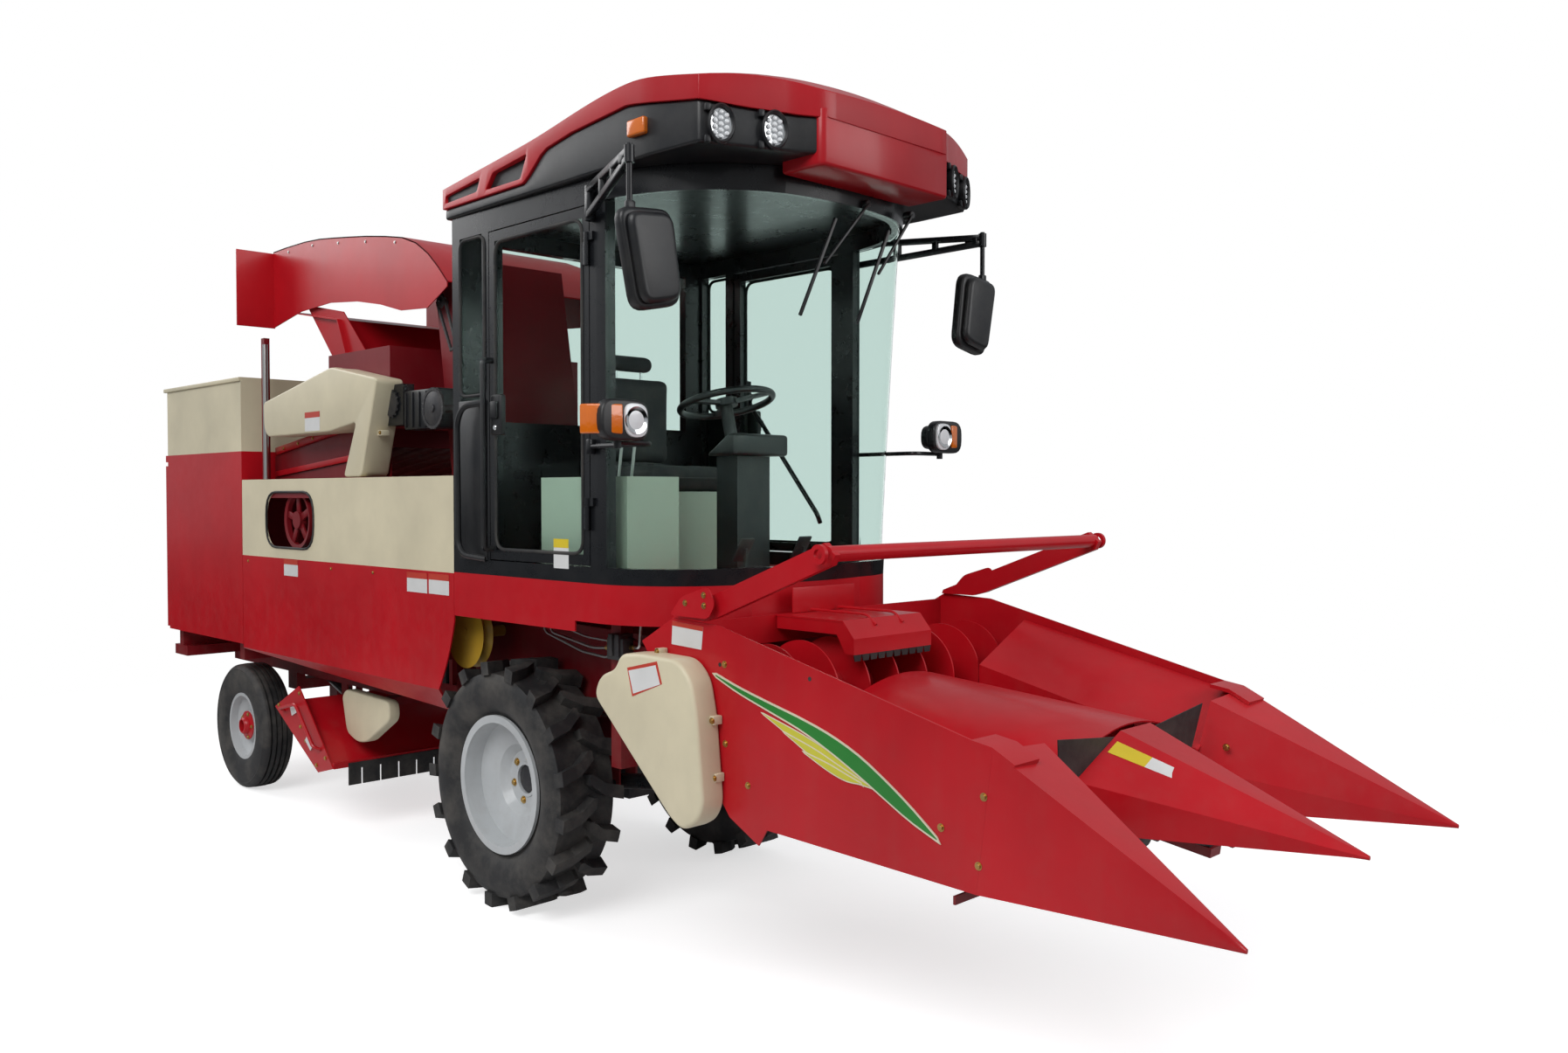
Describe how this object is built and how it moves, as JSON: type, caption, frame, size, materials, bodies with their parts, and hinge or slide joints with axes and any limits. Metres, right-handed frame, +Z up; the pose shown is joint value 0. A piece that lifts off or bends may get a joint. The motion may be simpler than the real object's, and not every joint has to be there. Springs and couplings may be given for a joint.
{
  "type": "two-row self-propelled maize harvester",
  "caption": "Maize harvester with glazed cab, lifting row header with pointed snouts, husker, tipping cob bin and steered rear wheels.",
  "frame": {"origin": "on the ground under the middle of the bounding box", "axes": "+X forward, +Y to the machine's left, +Z up"},
  "size_m": [6.9, 2.04, 3.2231],
  "materials": {
    "red_paint": "gloss",
    "dark_red_paint": "satin",
    "beige_paint": "satin",
    "black_paint": "satin",
    "rim_silver": "satin",
    "yellow_paint": "satin",
    "steel": "satin",
    "iron": "matte",
    "tyre_rubber": "matte",
    "rubber": "matte",
    "cab_glass": "gloss",
    "black_plastic": "gloss",
    "roof_red": "satin",
    "lamp_clear": "gloss",
    "grey_trim": "matte",
    "seat_cloth": "matte"
  },
  "bodies": {
    "machine": {"belt_guards": "beige_paint", "blower_hood": "red_paint", "body_deck": "dark_red_paint", "cab_base": "red_paint", "cab_console": "grey_trim", "cab_frame": "black_paint", "cab_glass": "cab_glass", "cab_subframe": "dark_red_paint", "chassis": "dark_red_paint", "chopper_flap": "rubber", "chopper_housing": "red_paint", "drive_housing": "black_paint", "elevator": "dark_red_paint", "engine_block": "iron", "front_axle": "iron", "husker": "dark_red_paint", "husker_rolls": "steel", "mirrors": "black_plastic", "rear_axle": "dark_red_paint", "roof_fascia": "black_plastic", "roof_lamps": "lamp_clear", "roof_shell": "roof_red", "seat": "seat_cloth", "side_panels_lower": "red_paint", "side_panels_upper": "beige_paint", "steering_column": "black_plastic", "work_lamps": "black_plastic"},
    "header": {"header_frame": "red_paint", "row_frame": "dark_red_paint", "header_decks": "red_paint", "snouts": "red_paint", "row_chains": "iron", "snapping_rolls": "iron", "push_bar": "red_paint", "header_guard": "beige_paint", "row_flaps": "rubber"},
    "header_auger": {"header_auger": "red_paint"},
    "header_barrels": {"header_lift_barrels": "black_paint"},
    "header_rods": {"header_lift_rods": "steel"},
    "bin": {"cob_bin": "red_paint", "bin_extension": "beige_paint"},
    "tailgate": {"bin_tailgate": "red_paint"},
    "bin_barrels": {"bin_lift_barrels": "black_paint"},
    "bin_rods": {"bin_lift_rods": "steel"},
    "pulley": {"drive_pulley": "yellow_paint"},
    "chopper_rotor": {"chopper_rotor": "iron"},
    "front_wheel_right": {"front_tyre_right": "tyre_rubber", "front_rim_right": "rim_silver"},
    "rear_wheel_right": {"rear_tyre_right": "tyre_rubber", "rear_rim_right": "rim_silver"},
    "steer_right": {"knuckle_right": "iron"},
    "door_right": {"door_right": "black_paint", "door_glass_right": "cab_glass"},
    "front_wheel_left": {"front_tyre_left": "tyre_rubber", "front_rim_left": "rim_silver"},
    "rear_wheel_left": {"rear_tyre_left": "tyre_rubber", "rear_rim_left": "rim_silver"},
    "steer_left": {"knuckle_left": "iron"},
    "door_left": {"door_left": "black_paint", "door_glass_left": "cab_glass"}
  },
  "joints": [
    {"name": "front_wheel_right_spin", "type": "hinge", "parent": "machine", "child": "front_wheel_right", "pos_m": [0.3, -0.567, 0.5025], "axis": [0, 1, 0], "continuous": true},
    {"name": "steer_right", "type": "hinge", "parent": "machine", "child": "steer_right", "pos_m": [-2.51, -0.4, 0.357], "axis": [0, 0, 1], "range_deg": [-30, 30]},
    {"name": "rear_wheel_right_spin", "type": "hinge", "parent": "steer_right", "child": "rear_wheel_right", "pos_m": [-2.51, -0.531, 0.357], "axis": [0, 1, 0], "continuous": true},
    {"name": "door_right_swing", "type": "hinge", "parent": "machine", "child": "door_right", "pos_m": [0.956, -0.712, 2.085], "axis": [0, 0, 1], "range_deg": [0, 80]},
    {"name": "front_wheel_left_spin", "type": "hinge", "parent": "machine", "child": "front_wheel_left", "pos_m": [0.3, 0.567, 0.5025], "axis": [0, 1, 0], "continuous": true},
    {"name": "steer_left", "type": "hinge", "parent": "machine", "child": "steer_left", "pos_m": [-2.51, 0.4, 0.357], "axis": [0, 0, 1], "range_deg": [-30, 30]},
    {"name": "rear_wheel_left_spin", "type": "hinge", "parent": "steer_left", "child": "rear_wheel_left", "pos_m": [-2.51, 0.531, 0.357], "axis": [0, 1, 0], "continuous": true},
    {"name": "door_left_swing", "type": "hinge", "parent": "machine", "child": "door_left", "pos_m": [0.956, 0.712, 2.085], "axis": [0, 0, -1], "range_deg": [0, 80]},
    {"name": "header_lift", "type": "hinge", "parent": "machine", "child": "header", "pos_m": [1.13, 0, 1.05], "axis": [0, 1, 0], "range_deg": [-3, 13]},
    {"name": "header_auger_spin", "type": "hinge", "parent": "header", "child": "header_auger", "pos_m": [1.67, 0, 1], "axis": [0, 1, 0], "continuous": true},
    {"name": "header_cylinder_swing", "type": "hinge", "parent": "machine", "child": "header_barrels", "pos_m": [0.6, 0, 0.5], "axis": [0, 1, 0], "range_deg": [-2, 6]},
    {"name": "header_cylinder_slide", "type": "slide", "parent": "header_barrels", "child": "header_rods", "axis": [0.9889, 0, 0.1483], "range_m": [-0.12, 0.04]},
    {"name": "bin_tip", "type": "hinge", "parent": "machine", "child": "bin", "pos_m": [-3.42, 0, 0.81], "axis": [0, -1, 0], "range_deg": [0, 50]},
    {"name": "tailgate_swing", "type": "hinge", "parent": "bin", "child": "tailgate", "pos_m": [-3.374, 0, 1.902], "axis": [0, 1, 0], "range_deg": [0, 60]},
    {"name": "bin_cylinder_swing", "type": "hinge", "parent": "machine", "child": "bin_barrels", "pos_m": [-2.1, 0, 0.52], "axis": [0, -1, 0], "range_deg": [-13, 2]},
    {"name": "bin_cylinder_slide", "type": "slide", "parent": "bin_barrels", "child": "bin_rods", "axis": [-0.9507, 0, 0.3102], "range_m": [0, 0.28]},
    {"name": "drive_pulley_spin", "type": "hinge", "parent": "machine", "child": "pulley", "pos_m": [-0.11, -0.56, 1.08], "axis": [0, 1, 0], "continuous": true},
    {"name": "chopper_rotor_spin", "type": "hinge", "parent": "machine", "child": "chopper_rotor", "pos_m": [-1.51, 0, 0.435], "axis": [0, 1, 0], "continuous": true}
  ],
  "couplings": [
    {"joint": "steer_left", "follows": "steer_right", "ratio": 1},
    {"joint": "header_cylinder_swing", "follows": "header_lift", "ratio": 0.391},
    {"joint": "header_cylinder_slide", "follows": "header_lift", "m_per_rad": -0.4852},
    {"joint": "bin_cylinder_swing", "follows": "bin_tip", "ratio": -0.2222},
    {"joint": "bin_cylinder_slide", "follows": "bin_tip", "m_per_rad": 0.2549}
  ]
}
